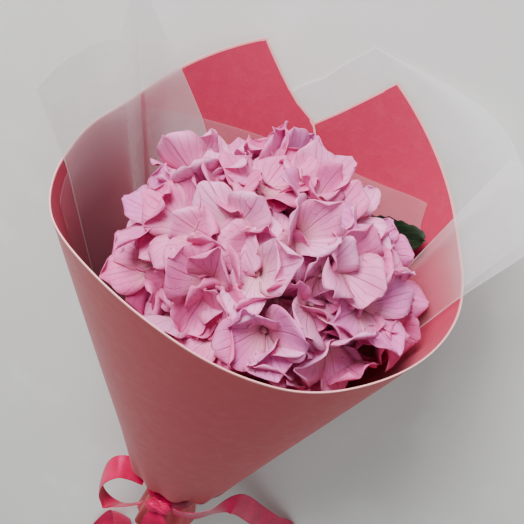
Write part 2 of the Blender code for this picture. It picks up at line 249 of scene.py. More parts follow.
def addBump(tree, shader, height, strength, distance):
    bump = addNode(tree, "ShaderNodeBump", Strength=strength, Distance=distance)
    tree.links.new(height, bump.inputs["Height"])
    tree.links.new(bump.outputs["Normal"], shader.inputs["Normal"])


# the outside colours are partly painted shade: the outer face gets its own duller pink, which stands in for the shade
# that falls on that face
wrapFinish = {
    "outsidePaintedShade": (0.51, 0.045, 0.062), "outsideDeepPaintedShade": (0.49, 0.041, 0.058),
    "inside": (0.51, 0.024, 0.080), "insideDeep": (0.48, 0.022, 0.074),
    "border": (0.93, 0.40, 0.40), "borderWidth": 0.0010, "roughness": 0.55,
}


def wrapMaterial(name, colour, deep, borderWidth):
    made, tree, shader = newMaterial(name)
    coords = tree.nodes.new("ShaderNodeTexCoord")
    uv = tree.nodes.new("ShaderNodeUVMap")
    split = addNode(tree, "ShaderNodeSeparateXYZ", links={"Vector": uv.outputs["UV"]})
    cloud = noiseAt(tree, coords.outputs["Object"], 9, 2, 0.4)
    grain = noiseAt(tree, coords.outputs["Object"], 900, 4, 0.6)
    fibre = noiseAt(tree, coords.outputs["Object"], 160, 5, 0.65, 0.4)
    base = mixColour(tree, between(tree, cloud, 0.3, 0.7), deep, colour)
    base = mixColour(tree, between(tree, fibre, 0.45, 0.75, 0.0, 0.03), base, wrapFinish["border"])
    nearest = math2(tree, "MINIMUM", split.outputs["X"], split.outputs["Y"])
    line = between(tree, nearest, borderWidth * 0.8, borderWidth * 1.3, 1.0, 0.0)
    base = mixColour(tree, line, base, wrapFinish["border"])
    tree.links.new(base, shader.inputs["Base Color"])
    rough = between(tree, fibre, 0.2, 0.8, wrapFinish["roughness"] - 0.08, wrapFinish["roughness"] + 0.1)
    tree.links.new(rough, shader.inputs["Roughness"])
    shader.inputs["Specular IOR Level"].default_value = 0.35
    shader.inputs["Sheen Weight"].default_value = 0.08
    addBump(tree, shader, math2(tree, "ADD", grain, math2(tree, "MULTIPLY", fibre, 1.5)), 0.22, 0.0004)
    return made


filmFinish = {"milk": (0.97, 0.97, 0.97), "opacity": 0.12, "clearOpacity": 0.035, "edgeOpacity": 2.0,
              "roughness": 0.30, "glow": 0.8}


def filmMaterial(name, density):
    made, tree, shader = newMaterial(name)
    coords = tree.nodes.new("ShaderNodeTexCoord")
    uv = tree.nodes.new("ShaderNodeUVMap")
    split = addNode(tree, "ShaderNodeSeparateXYZ", links={"Vector": uv.outputs["UV"]})
    cloud = noiseAt(tree, coords.outputs["Object"], 22, 4, 0.55)
    frost = noiseAt(tree, coords.outputs["Object"], 1400, 3, 0.6)
    wave = noiseAt(tree, coords.outputs["Object"], 60, 3, 0.5, 0.3)
    nearest = math2(tree, "MINIMUM", split.outputs["X"], split.outputs["Y"])
    line = between(tree, nearest, 0.0004, 0.0011, 1.0, 0.0)
    opacity = between(tree, cloud, 0.25, 0.75, density * 0.8, density * 1.25)
    # painted highlight: the film is made denser, and so whiter, near its top edge, which stands in for the light along
    # the lip; lower down it thins
    opacity = math2(tree, "MULTIPLY", opacity, between(tree, split.outputs["Y"], 0.005, 0.08, 1.8, 0.25))
    opacity = math2(tree, "MAXIMUM", opacity, math2(tree, "MULTIPLY", line, density * filmFinish["edgeOpacity"]))
    tree.links.new(opacity, shader.inputs["Alpha"])
    base = mixColour(tree, between(tree, wave, 0.3, 0.7), filmFinish["milk"],
                     tuple(c * 0.96 for c in filmFinish["milk"]))
    tree.links.new(base, shader.inputs["Base Color"])
    rough = between(tree, frost, 0.2, 0.8, filmFinish["roughness"] - 0.08, filmFinish["roughness"] + 0.12)
    tree.links.new(rough, shader.inputs["Roughness"])
    addBump(tree, shader, math2(tree, "ADD", math2(tree, "MULTIPLY", frost, 0.3), wave), 0.18, 0.0005)
    # frosted plastic scatters the light that comes from behind it
    glow = addNode(tree, "ShaderNodeBsdfTranslucent", links={"Color": base})
    both = addNode(tree, "ShaderNodeMixShader")
    tree.links.new(math2(tree, "MULTIPLY", opacity, filmFinish["glow"]), both.inputs[0])
    tree.links.new(shader.outputs["BSDF"], both.inputs[1])
    tree.links.new(glow.outputs["BSDF"], both.inputs[2])
    tree.links.new(both.outputs[0], tree.nodes["Material Output"].inputs["Surface"])
    return made


petalFinish = {
    "blush": (0.85, 0.14, 0.43), "pale": (0.96, 0.40, 0.73), "lilac": (0.77, 0.21, 0.60),
    "claw": (0.88, 0.46, 0.50), "margin": (0.78, 0.17, 0.32), "vein": (0.66, 0.15, 0.30),
    "speck": (0.33, 0.08, 0.12), "through": 0.28,
}


def petalMaterial():
    made, tree, shader = newMaterial("hydrangeaSepal")
    coords = tree.nodes.new("ShaderNodeTexCoord")
    uv = tree.nodes.new("ShaderNodeUVMap")
    tint = addNode(tree, "ShaderNodeAttribute", {"attribute_name": "sepalTint"}).outputs["Fac"]
    split = addNode(tree, "ShaderNodeSeparateXYZ", links={"Vector": uv.outputs["UV"]})
    across = math2(tree, "SUBTRACT", split.outputs["X"], 0.5)
    along = split.outputs["Y"]
    cloud = noiseAt(tree, coords.outputs["Object"], 90, 4, 0.6)
    fine = noiseAt(tree, coords.outputs["Object"], 520, 4, 0.65)
    base = mixColour(tree, between(tree, tint, 0.35, 1.0), petalFinish["blush"], petalFinish["pale"])
    base = mixColour(tree, between(tree, tint, 0.32, 0.0, 0.0, 0.75), base, petalFinish["lilac"])
    base = mixColour(tree, between(tree, cloud, 0.35, 0.7, 0.0, 0.35), base, petalFinish["pale"])
    heart = between(tree, along, 0.02, 0.42, 0.75, 0.0)
    base = mixColour(tree, heart, base, petalFinish["claw"])
    rimAcross = between(tree, math2(tree, "ABSOLUTE", across), 0.36, 0.5)
    rimTip = between(tree, along, 0.86, 1.0)
    rim = math2(tree, "MULTIPLY", math2(tree, "MAXIMUM", rimAcross, rimTip), between(tree, fine, 0.3, 0.7, 0.2, 0.6))
    base = mixColour(tree, rim, base, petalFinish["margin"])
    # veins fan out from the claw
    fan = math2(tree, "ARCTAN2", across, math2(tree, "ADD", along, 0.10))
    fan = math2(tree, "ADD", fan, math2(tree, "MULTIPLY", math2(tree, "SUBTRACT", cloud, 0.5), 0.22))
    comb = math2(tree, "ABSOLUTE", math2(tree, "SINE", math2(tree, "MULTIPLY", fan, 14.0)))
    veins = between(tree, comb, 0.0, 0.22, 1.0, 0.0)
    midrib = between(tree, math2(tree, "ABSOLUTE", across), 0.0, 0.022, 1.0, 0.0)
    veins = math2(tree, "MAXIMUM", math2(tree, "MULTIPLY", veins, 0.6), midrib)
    veins = math2(tree, "MULTIPLY", veins, between(tree, along, 0.95, 0.55, 0.25, 1.0))
    base = mixColour(tree, between(tree, fine, 0.45, 0.75, 0.0, 0.30), base, petalFinish["pale"])
    base = mixColour(tree, math2(tree, "MULTIPLY", veins, 0.46), base, petalFinish["vein"])
    dots = addNode(tree, "ShaderNodeTexVoronoi", links={"Vector": coords.outputs["Object"]}, Scale=260.0)
    dot = between(tree, dots.outputs["Distance"], 0.07, 0.14, 1.0, 0.0)
    dot = math2(tree, "MULTIPLY", dot, between(tree, cloud, 0.56, 0.62, 0.0, 0.85))
    base = mixColour(tree, dot, base, petalFinish["speck"])
    tree.links.new(base, shader.inputs["Base Color"])
    tree.links.new(between(tree, fine, 0.2, 0.8, 0.42, 0.62), shader.inputs["Roughness"])
    shader.inputs["Specular IOR Level"].default_value = 0.25
    shader.inputs["Sheen Weight"].default_value = 0.05
    ridges = math2(tree, "ADD", math2(tree, "MULTIPLY", veins, -0.8), math2(tree, "MULTIPLY", fine, 0.5))
    addBump(tree, shader, ridges, 0.7, 0.0007)
    glow = addNode(tree, "ShaderNodeBsdfTranslucent", links={"Color": base})
    both = addNode(tree, "ShaderNodeMixShader")
    both.inputs[0].default_value = petalFinish["through"]
    tree.links.new(shader.outputs["BSDF"], both.inputs[1])
    tree.links.new(glow.outputs["BSDF"], both.inputs[2])
    tree.links.new(both.outputs[0], tree.nodes["Material Output"].inputs["Surface"])
    return made


def mottledMaterial(name, colour, deep, roughness, scale, bumpStrength, bumpDistance, stretch=None):
    made, tree, shader = newMaterial(name)
    coords = tree.nodes.new("ShaderNodeTexCoord")
    source = coords.outputs["Object"]
    if stretch:
        mapping = addNode(tree, "ShaderNodeMapping", links={"Vector": source})
        mapping.inputs["Scale"].default_value = stretch
        source = mapping.outputs["Vector"]
    patches = noiseAt(tree, source, scale, 4, 0.6)
    fine = noiseAt(tree, source, scale * 6, 4, 0.6)
    base = mixColour(tree, between(tree, patches, 0.3, 0.7), deep, colour)
    base = mixColour(tree, between(tree, fine, 0.5, 0.8, 0.0, 0.25), base, tuple(min(1, c * 1.5) for c in colour))
    tree.links.new(base, shader.inputs["Base Color"])
    tree.links.new(between(tree, fine, 0.2, 0.8, roughness - 0.08, roughness + 0.1), shader.inputs["Roughness"])
    addBump(tree, shader, math2(tree, "ADD", patches, math2(tree, "MULTIPLY", fine, 0.6)), bumpStrength, bumpDistance)
    return made


def leafMaterial():
    made, tree, shader = newMaterial("leafBlade")
    coords = tree.nodes.new("ShaderNodeTexCoord")
    uv = tree.nodes.new("ShaderNodeUVMap")
    split = addNode(tree, "ShaderNodeSeparateXYZ", links={"Vector": uv.outputs["UV"]})
    across = math2(tree, "ABSOLUTE", math2(tree, "SUBTRACT", split.outputs["X"], 0.5))
    patches = noiseAt(tree, coords.outputs["Object"], 60, 4, 0.6)
    fine = noiseAt(tree, coords.outputs["Object"], 420, 4, 0.6)
    base = mixColour(tree, between(tree, patches, 0.3, 0.7), (0.004, 0.015, 0.006), (0.010, 0.034, 0.012))
    slant = math2(tree, "SUBTRACT", math2(tree, "MULTIPLY", split.outputs["Y"], 9.0), math2(tree, "MULTIPLY", across, 5.0))
    side = math2(tree, "ABSOLUTE", math2(tree, "SINE", math2(tree, "MULTIPLY", slant, math.pi)))
    veins = math2(tree, "MAXIMUM", between(tree, side, 0.0, 0.12, 0.7, 0.0), between(tree, across, 0.0, 0.02, 1.0, 0.0))
    base = mixColour(tree, math2(tree, "MULTIPLY", veins, 0.6), base, (0.035, 0.085, 0.03))
    tree.links.new(base, shader.inputs["Base Color"])
    tree.links.new(between(tree, fine, 0.2, 0.8, 0.32, 0.48), shader.inputs["Roughness"])
    addBump(tree, shader, math2(tree, "SUBTRACT", math2(tree, "MULTIPLY", fine, 0.5), veins), 0.5, 0.0008)
    return made


ribbonFinish = {"satin": (0.60, 0.001, 0.075), "satinDeep": (0.42, 0.0005, 0.042), "shine": (1.0, 0.14, 0.46)}


def satinMaterial():
    made, tree, shader = newMaterial("ribbonSatin")
    coords = tree.nodes.new("ShaderNodeTexCoord")
    uv = tree.nodes.new("ShaderNodeUVMap")
    threads = addNode(tree, "ShaderNodeMapping", links={"Vector": uv.outputs["UV"]})
    threads.inputs["Scale"].default_value = (60.0, 4000.0, 1.0)
    weaveAndSheen = noiseAt(tree, threads.outputs["Vector"], 1.0, 2, 0.5)
    patches = noiseAt(tree, coords.outputs["Object"], 70, 3, 0.5)
    split = addNode(tree, "ShaderNodeSeparateXYZ", links={"Vector": uv.outputs["UV"]})
    fromEdge = math2(tree, "SUBTRACT", 0.5, math2(tree, "ABSOLUTE", math2(tree, "SUBTRACT", split.outputs["X"], 0.5)))
    selvedge = between(tree, fromEdge, 0.03, 0.06, 1.0, 0.0)
    base = mixColour(tree, between(tree, patches, 0.3, 0.7), ribbonFinish["satinDeep"], ribbonFinish["satin"])
    # painted sheen: the shine colour is mixed faintly into the base colour along the weave streaks
    base = mixColour(tree, math2(tree, "MULTIPLY", weaveAndSheen, 0.05), base, ribbonFinish["shine"])
    base = mixColour(tree, math2(tree, "MULTIPLY", selvedge, 0.5), base, ribbonFinish["satinDeep"])
    tree.links.new(base, shader.inputs["Base Color"])
    tree.links.new(between(tree, weaveAndSheen, 0.2, 0.8, 0.24, 0.38), shader.inputs["Roughness"])
    shader.inputs["Specular IOR Level"].default_value = 0.5
    shader.inputs["Specular Tint"].default_value = (*ribbonFinish["shine"], 1.0)
    addBump(tree, shader, math2(tree, "ADD", weaveAndSheen, math2(tree, "MULTIPLY", selvedge, 1.2)), 0.25, 0.0002)
    return made


# the outside material carries painted shade for the outer face of the cone
wrapOutsideWithPaintedShade = wrapMaterial("wrapOutsideWithPaintedShade", wrapFinish["outsidePaintedShade"], wrapFinish["outsideDeepPaintedShade"], wrapFinish["borderWidth"])
wrapInside = wrapMaterial("wrapInside", wrapFinish["inside"], wrapFinish["insideDeep"], wrapFinish["borderWidth"])
wrapEdge = wrapMaterial("wrapCutEdge", wrapFinish["border"], wrapFinish["border"], wrapFinish["borderWidth"])
film = filmMaterial("frostedFilm", filmFinish["opacity"])
liningFilm = filmMaterial("thinFrostedFilm", filmFinish["clearOpacity"])
petal = petalMaterial()
budFinish = mottledMaterial("floretBud", (0.66, 0.38, 0.42), (0.42, 0.20, 0.22), 0.5, 300, 0.4, 0.0004)
pedicelFinish = mottledMaterial("pedicel", (0.62, 0.42, 0.34), (0.45, 0.30, 0.20), 0.55, 200, 0.3, 0.0003)
stemFinish = mottledMaterial("stemBark", (0.25, 0.30, 0.10), (0.14, 0.16, 0.06), 0.6, 50, 0.6, 0.0008, (4.0, 0.5, 4.0))
leafBlade = leafMaterial()
satin = satinMaterial()
print("materials made")

# ------------------------------------------------ rolled sheets
wrapSheet = {
    "rim": [(-205, 0.135), (-190, 0.195), (-182, 0.231), (-170, 0.266), (-155, 0.250), (-140, 0.236),
            (-125, 0.224), (-90, 0.221), (-70, 0.222), (-40, 0.236), (-20, 0.231), (0, 0.218),
            (25, 0.207), (45, 0.213), (90, 0.220), (110, 0.220), (130, 0.232), (150, 0.249),
            (165, 0.266), (178, 0.231), (190, 0.195), (205, 0.135)],
    "corners": (-182, -170, 165, 178), "bottom": -0.065, "thick": 0.0006, "spiral": 0.0007,
    "flat": (0.60, 0.34), "area": 0.115,
}
filmSheets = {
    "film_lining": {"rim": [(-232, 0.205), (-226, 0.222), (-203, 0.214), (-156, 0.217), (-125, 0.224), (-76, 0.212)],
                    "corners": (-226,), "bottom": -0.045, "lift": -0.0019, "flat": (0.30, 0.26), "area": 0.039},
    "film_left": {"rim": [(-185, 0.105), (-170, 0.165), (-155, 0.219), (-130, 0.290), (-121, 0.262), (-88, 0.257)],
                  "corners": (-155, -130, -121), "bottom": -0.035, "lift": -0.0029, "flat": (0.22, 0.30), "area": 0.025},
    "film_right": {"rim": [(88, 0.276), (112, 0.276), (118, 0.268)],
                   "corners": (112,), "bottom": -0.035, "lift": -0.0029, "flat": (0.065, 0.31), "area": 0.0101},
    "film_back": {"rim": [(94, 0.255), (117, 0.264), (133, 0.272), (165, 0.274), (173, 0.277), (177, 0.264),
                          (180, 0.250), (190, 0.215), (205, 0.165)],
                  "corners": (173, 177), "bottom": -0.050, "lift": 0.0019, "flat": (0.30, 0.32), "area": 0.0385},
}


def roundedRim(rim, corners, degrees):
    # straight reading near the cut corners, averaged elsewhere so that the rim flows
    near = min(abs(degrees - c) for c in corners) if corners else 99
    spread = min(9.0, max(0.0, near - 1.0))
    if spread <= 0:
        return readOff(rim, degrees)
    low, high = rim[0][0], rim[-1][0]
    taken = [readOff(rim, min(high, max(low, degrees + spread * k / 4))) for k in range(-4, 5)]
    return sum(taken) / len(taken)


# rows that every sheet shares, so that sheets lying on each other bend at the same heights
sheetLevels = [-0.060, -0.055, -0.050, -0.045, -0.040, -0.035, -0.030, -0.025, -0.021, -0.017, -0.0135, -0.010,
               -0.0088, -0.0075, -0.0062, -0.005, -0.0037, -0.0024, -0.0012, 0.0,
               0.004, 0.009, 0.016, 0.026, 0.04, 0.055, 0.072, 0.09]


def rolledSheet(name, rim, corners, bottom, liftAt, thick):
    low, high = rim[0][0], rim[-1][0]
    count = round((high - low) / 2.0)
    angles = [low + (high - low) * i / count for i in range(count + 1)]
    for c in corners:  # move the nearest column onto each cut corner
        k = min(range(len(angles)), key=lambda i: abs(angles[i] - c))
        angles[k] = float(c)
    tops = [roundedRim(rim, corners, a) for a in angles]
    levels = [bottom] + [level for level in sheetLevels if level > bottom + 0.001]
    fixed = len(levels)
    rows = fixed + 15
    arc = [0.0]
    for i in range(1, len(angles)):
        top = min(tops[i], tops[i - 1])
        arc.append(arc[-1] + (wrapPoint(angles[i], top) - wrapPoint(angles[i - 1], top)).length)
    slope = []
    for i in range(len(angles)):
        a, b = max(0, i - 1), min(len(angles) - 1, i + 1)
        steep = abs(tops[b] - tops[a]) / max(1e-6, arc[b] - arc[a])
        slope.append(1 / math.sqrt(1 + steep * steep))

    def alongAt(i, j):
        if j < fixed:
            return levels[j]
        share = (j - fixed + 1) / (rows - fixed + 1)
        return levels[-1] + (tops[i] - levels[-1]) * share

    def spotAt(s, t, i, j):
        along = alongAt(i, j)
        return wrapPoint(angles[i], along, liftAt(angles[i], along))

    def uvAt(s, t, i, j):
        return (min(arc[i], arc[-1] - arc[i]), min((tops[i] - alongAt(i, j)) * slope[i], 0.3))

    obj = gridPiece(name, len(angles) - 1, rows, spotAt, uvAt)
    return obj


def wrapLift(degrees, along):
    wave = 0.00015 * math.sin(math.radians(2.3 * degrees) + 30 * along) * smooth01(along / 0.1)
    return wrapSheet["spiral"] * degrees / 180 + wave


def lastSteps(obj, node):
    smoothShade(obj, 60)
    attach(obj, "root")
    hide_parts(node)
    print("made", obj.name)


wrap = rolledSheet("pinkWrap", wrapSheet["rim"], wrapSheet["corners"], wrapSheet["bottom"], wrapLift, 0.0006)
for surface in (wrapOutsideWithPaintedShade, wrapInside, wrapEdge):
    wrap.data.materials.append(surface)
thicken(wrap, wrapSheet["thick"], 0.0, 1, 2)
lastSteps(wrap, "wrap")


def filmLift(name, lift):
    def liftAt(degrees, along):
        up = smooth01(along / 0.15)
        beyond = smooth01((along - 0.215) / 0.05)
        wave = 0.00015 * math.sin(math.radians(3.1 * degrees) + 40 * along) * up
        if name == "film_right":
            wave -= up * readOff([(88, 0.0), (104, 0.0045), (118, 0.0030)], degrees)
            wave += 0.004 * beyond * readOff([(88, 1.0), (112, 0.0)], degrees)
        if name == "film_left":  # a crease runs up the wing, and its free side leans out
            wave -= up * readOff([(-140, 0.0), (-126, 0.004), (-112, 0.0015), (-88, 0.0)], degrees)
            wave += 0.006 * beyond * readOff([(-120, 0.0), (-88, 1.0)], degrees)
        if name == "film_back":  # the top lip curls outward
            wave += 0.003 * beyond * (1.0 - readOff([(150, 0.0), (178, 1.0)], degrees))
        return lift + wave
    return liftAt


for node, facts in filmSheets.items():
    sheet = rolledSheet(node.replace("film_", "frosted_"), facts["rim"], facts["corners"], facts["bottom"],
                        filmLift(node, facts["lift"]), 0.0003)
    sheet.data.materials.append(liningFilm if node == "film_lining" else film)
    thicken(sheet, 0.0003)
    lastSteps(sheet, node)

# ------------------------------------------------ flower head
head = {
    "side": 0.008, "front": 0.001, "along": 0.205, "halfSide": 0.0655, "halfFront": 0.064, "halfBack": 0.061,
    "halfAlong": 0.056, "lowest": 112.0, "cymes": 15, "each": 3, "depth": 0.80, "between": 0.72, "fillDepth": 0.60,
    "clearance": 0.0045,
    "hubDepth": 0.027, "knobRadius": 0.009,
}
sepals = {"kinds": 10, "length": 0.0230, "width": 0.0265, "thick": 0.00026, "columns": 6, "rows": 9}


def domePoints(count):
    lowest = math.cos(math.radians(head["lowest"]))
    golden = math.pi * (3 - math.sqrt(5))
    found = []
    for i in range(count):
        z = 1 - (1 - lowest) * (i + 0.5) / count
        ring = math.sqrt(max(0.0, 1 - z * z))
        turn = golden * i + 0.4
        x, y = ring * math.cos(turn), ring * math.sin(turn)
        halfFront = head["halfFront"] if y > 0 else head["halfBack"]
        halfAlong = head["halfAlong"] if z > 0 else 0.85 * head["halfAlong"]
        spot = Vector((head["side"] + head["halfSide"] * x, head["front"] + halfFront * y, head["along"] + halfAlong * z))
        out = Vector((x / head["halfSide"], y / halfFront, z / halfAlong)).normalized()
        found.append((spot, out))
    return found


def grouped(points, size):
    left = list(range(len(points)))
    groups = []
    while left:
        first = max(left)
        left.remove(first)
        near = sorted(left, key=lambda i: (points[i][0] - points[first][0]).length)
        group = [first, near[0]]
        middle = (points[first][0] + points[near[0]][0]) / 2
        group += sorted(near[1:], key=lambda i: (points[i][0] - middle).length)[: size - 2]
        for i in group[1:]:
            left.remove(i)
        groups.append(group)
    return groups


def sepalShape(kind):
    # one sepal lying along +Y from its claw at the origin, cupped and ruffled
    dice = random.Random(40 + kind)
    cup = dice.uniform(0.12, 0.50)
    arch = dice.uniform(-0.35, 0.30)
    ruffle = dice.uniform(0.05, 0.13)
    phase = dice.uniform(0, math.tau)
    skew = dice.uniform(-0.10, 0.10)
    broad = dice.uniform(0.88, 1.08)
    nick = dice.uniform(0.0, 0.06)
    length, width = sepals["length"] * dice.uniform(0.92, 1.06), sepals["width"] * broad

    def outline(t):
        return 1.62 * (t ** 0.62) * (max(0.0, 1 - t) ** 0.46)

    def spotAt(s, t, i, j):
        x = 2 * s - 1
        t = 1 - (1 - t) ** 1.5  # closer rows toward the rounded tip
        half = 0.5 * width * max(0.05, outline(min(t, 0.985)))
        tip = 1 - 0.13 * x * x * smooth01((t - 0.6) / 0.4) - nick * math.exp(-(x * 5) ** 2) * smooth01((t - 0.8) / 0.2)
        y = length * t * tip
        across = x * half + skew * length * t * t
        z = cup * abs(x) ** 1.7 * half + arch * length * t * t * 0.6
        z += ruffle * width * abs(x) ** 2 * math.sin(5.5 * t * math.pi / 2 + phase + (1.3 if x > 0 else 0.0)) * 0.5
        z += 0.06 * width * math.sin(3.0 * x + phase) * t
        return (across, y, z)

    obj = gridPiece(f"sepalKind{kind}", sepals["columns"], sepals["rows"], spotAt, lambda s, t, i, j: (s, t))
    obj.data.materials.append(petal)
    thicken(obj, sepals["thick"])
    makeActive(obj)
    bpy.ops.object.shade_smooth()
    return obj


def budShape():
    deselectAll()
    bpy.ops.mesh.primitive_ico_sphere_add(subdivisions=2, radius=0.0016)
    obj = bpy.context.object
    for v in obj.data.vertices:  # four faint lobes, like a closed bud
        turn = math.atan2(v.co.y, v.co.x)
        v.co.x *= 1 - 0.10 * math.cos(4 * turn) ** 2
        v.co.y *= 1 - 0.10 * math.cos(4 * turn) ** 2
        v.co.z *= 1.15
    obj.data.materials.append(budFinish)
    makeActive(obj)
    bpy.ops.object.shade_smooth()
    return obj


def pedicelShape():
    # unit long, along +Z, a little thicker at both ends
    deselectAll()
    bpy.ops.mesh.primitive_cylinder_add(vertices=6, radius=0.0008, depth=1.0, location=(0, 0, 0.5))
    obj = bpy.context.object
    bpy.ops.object.transform_apply(location=True, rotation=False, scale=False)
    bpy.ops.object.mode_set(mode="EDIT")
    bpy.ops.mesh.select_all(action="SELECT")
    bpy.ops.mesh.bisect(plane_co=(0, 0, 0.5), plane_no=(0, 0, 1))
    bpy.ops.transform.resize(value=(0.75, 0.75, 1.0), orient_type="GLOBAL", center_override=(0, 0, 0.5))
    bpy.ops.object.mode_set(mode="OBJECT")
    obj.data.materials.append(pedicelFinish)
    makeActive(obj)
    bpy.ops.object.shade_smooth_by_angle(angle=math.radians(60))
    return obj


kinds = [sepalShape(k) for k in range(sepals["kinds"])]
bud = budShape()
pedicel = pedicelShape()


def setTint(mesh, value):
    layer = mesh.attributes.get("sepalTint") or mesh.attributes.new("sepalTint", "FLOAT", "POINT")
    for item in layer.data:
        item.value = value


def copyAt(master, matrix, tint=0.5):
    obj = bpy.data.objects.new(master.name + "Copy", master.data.copy())
    bpy.context.scene.collection.objects.link(obj)
    obj.matrix_world = matrix
    setTint(obj.data, tint)
    return obj


def basis(origin, xAxis, yAxis, zAxis):
    return Matrix((
        (xAxis.x, yAxis.x, zAxis.x, origin.x),
        (xAxis.y, yAxis.y, zAxis.y, origin.y),
        (xAxis.z, yAxis.z, zAxis.z, origin.z),
        (0, 0, 0, 1),
    ))


def stickFrom(a, b, thickness=1.0):
    way = b - a
    z = way.normalized()
    x = z.cross(Vector((0.3, 0.5, 0.8))).normalized()
    y = z.cross(x)
    return basis(a, x * thickness, y * thickness, z * way.length)


def floretPieces(spot, out, dice, size, tilt):
    # four sepals crossed in pairs round the bud; spot and out are in the world
    out = out.normalized()
    x = out.cross(Vector((0.31, 0.52, 0.79))).normalized()
    y = out.cross(x)
    turn = dice.uniform(0, math.tau)
    tint = dice.random()
    made = []
    for k in range(4):
        angle = turn + k * math.pi / 2 + dice.uniform(-0.16, 0.16)
        radial = x * math.cos(angle) + y * math.sin(angle)
        lean = tilt + dice.uniform(-0.30, 0.30)
        yAxis = radial * math.cos(lean) + out * math.sin(lean)
        zAxis = out * math.cos(lean) - radial * math.sin(lean)
        roll = dice.uniform(-0.34, 0.34)
        xAxis = yAxis.cross(zAxis)
        xAxis, zAxis = (xAxis * math.cos(roll) + zAxis * math.sin(roll), zAxis * math.cos(roll) - xAxis * math.sin(roll))
        grow = size * dice.uniform(0.9, 1.08)
        base = spot + out * (0.0005 if k % 2 else -0.0003) + radial * 0.0008
        made.append(copyAt(kinds[dice.randrange(len(kinds))],
                           basis(base, xAxis * grow, yAxis * grow, zAxis * grow),
                           min(1.0, max(0.0, tint + dice.uniform(-0.15, 0.15)))))
    made.append(copyAt(bud, basis(spot + out * 0.0012, x, y, out), tint))
    return made


def localOf(spot):
    p = spot - offset - Vector((0, 0, bouquet["tieHeight"]))
    return -p.x, p.y * rise + p.z * run, -p.y * run + p.z * rise


def keepInside(mesh):
    # a sepal that would reach through the paper lies against it instead
    for v in mesh.vertices:
        v.co += noise.noise_vector(v.co * 60) * 0.0014
        side, front, along = localOf(v.co)
        a, b, c = halfAxes(along)
        a, b = a - head["clearance"], (b if front >= 0 else c) - head["clearance"]
        power = 2.0 if front >= 0 else bouquet["backSquareness"]
        ratio = (abs(side / a) ** power + abs(front / b) ** power) ** (1 / power)
        if ratio > 1:
            ease = 1 - 0.02 * min(1.0, ratio - 1)
            v.co = place(side / ratio * ease, front / ratio * ease, along)


def joined(name, pieces):
    deselectAll()
    for piece in pieces:
        piece.select_set(True)
    bpy.context.view_layer.objects.active = pieces[0]
    bpy.ops.object.join()
    obj = bpy.context.object
    obj.name = obj.data.name = name
    bpy.ops.object.transform_apply(location=True, rotation=True, scale=True)
    return obj


def towardHead(local, out, share):
    # the head is flatter on the side where the leaf shows
    share *= 1 - 0.24 * max(0.0, out.dot(Vector((0.60, -0.56, 0.57)))) ** 3
    share *= 1 + 0.13 * max(0.0, out.dot(Vector((0.72, 0.50, -0.48)))) ** 2
    centre = Vector((head["side"], head["front"], head["along"] - 0.012))
    return centre + (local - centre) * share


knob = Vector((0.0, 0.0, bouquet["knobAlong"]))
points = domePoints(head["cymes"] * head["each"])
dice = random.Random(7)
for k, group in enumerate(grouped(points, head["each"])):
    florets = [points[i] for i in group]
    middle = sum((p for p, _ in florets), Vector()) / len(florets)
    hub = middle + (knob - middle).normalized() * head["hubDepth"]
    foot = knob + (hub - knob).normalized() * (head["knobRadius"] - 0.001)
    pieces = [copyAt(pedicel, stickFrom(place(*foot), place(*hub), 1.7))]
    for spot, out in florets:
        for share, step, size in ((head["depth"], 0.0, 1.12), (head["between"], 0.0135, 1.0), (head["fillDepth"], 0.010, 0.9)):
            wobble = Vector((dice.gauss(0, 1), dice.gauss(0, 1), dice.gauss(0, 1))) * 0.34
            across = out.cross(Vector((dice.gauss(0, 1), dice.gauss(0, 1), dice.gauss(0, 1)))).normalized()
            centre = towardHead(spot, out, share * dice.uniform(0.96, 1.05)) + across * step
            aim = turned(*(out + wobble).normalized())
            pieces += floretPieces(place(*centre), aim, dice, size, dice.uniform(0.25, 0.9))
            pieces.append(copyAt(pedicel, stickFrom(place(*hub), place(*centre))))
    cyme = joined(f"cymeOfFlorets{k + 1:02d}", pieces)
    keepInside(cyme.data)
    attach(cyme, "root")
    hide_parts(f"cyme_{k + 1:02d}")
for master in (*kinds, bud, pedicel):
    bpy.data.objects.remove(master)
print("flower head made")

# ------------------------------------------------ stem
stemShape = {
    "rings": [(-0.115, 0.0040), (-0.09, 0.0042), (-0.06, 0.0043), (0.0, 0.0040), (0.05, 0.0038), (0.072, 0.0036),
              (0.077, 0.0043), (0.080, 0.0049), (0.083, 0.0043), (0.088, 0.0036), (0.13, 0.0034), (0.148, 0.0046),
              (0.155, 0.0074), (0.160, 0.0090), (0.166, 0.0066)],
    "sides": 20,
}


def stemPiece():
    deselectAll()
    first = stemShape["rings"][0]
    bpy.ops.mesh.primitive_circle_add(vertices=stemShape["sides"], radius=first[1], fill_type="NGON",
                                      location=(0, 0, first[0]))
    obj = bpy.context.object
    obj.name = obj.data.name = "stemWithKnob"
    bpy.ops.object.transform_apply(location=True, rotation=False, scale=False)
    bpy.ops.object.mode_set(mode="EDIT")
    bpy.ops.mesh.select_all(action="SELECT")
    for (a0, r0), (a1, r1) in zip(stemShape["rings"], stemShape["rings"][1:]):
        bpy.ops.mesh.extrude_region_move(TRANSFORM_OT_translate={"value": (0, 0, a1 - a0)})
        bpy.ops.transform.resize(value=(r1 / r0, r1 / r0, 1.0), orient_type="GLOBAL", center_override=(0, 0, a1))
    bpy.ops.object.mode_set(mode="OBJECT")
    for v in obj.data.vertices:
        x, y, along = v.co
        swell = 1 + 0.05 * noise.noise(Vector((x * 300, y * 300, along * 60)))
        v.co = place(x * swell, y * swell, along)
    faceOutward(obj)
    obj.data.materials.append(stemFinish)
    smoothShade(obj, 50)
    return obj


stem = stemPiece()
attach(stem, "root")
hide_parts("stem")

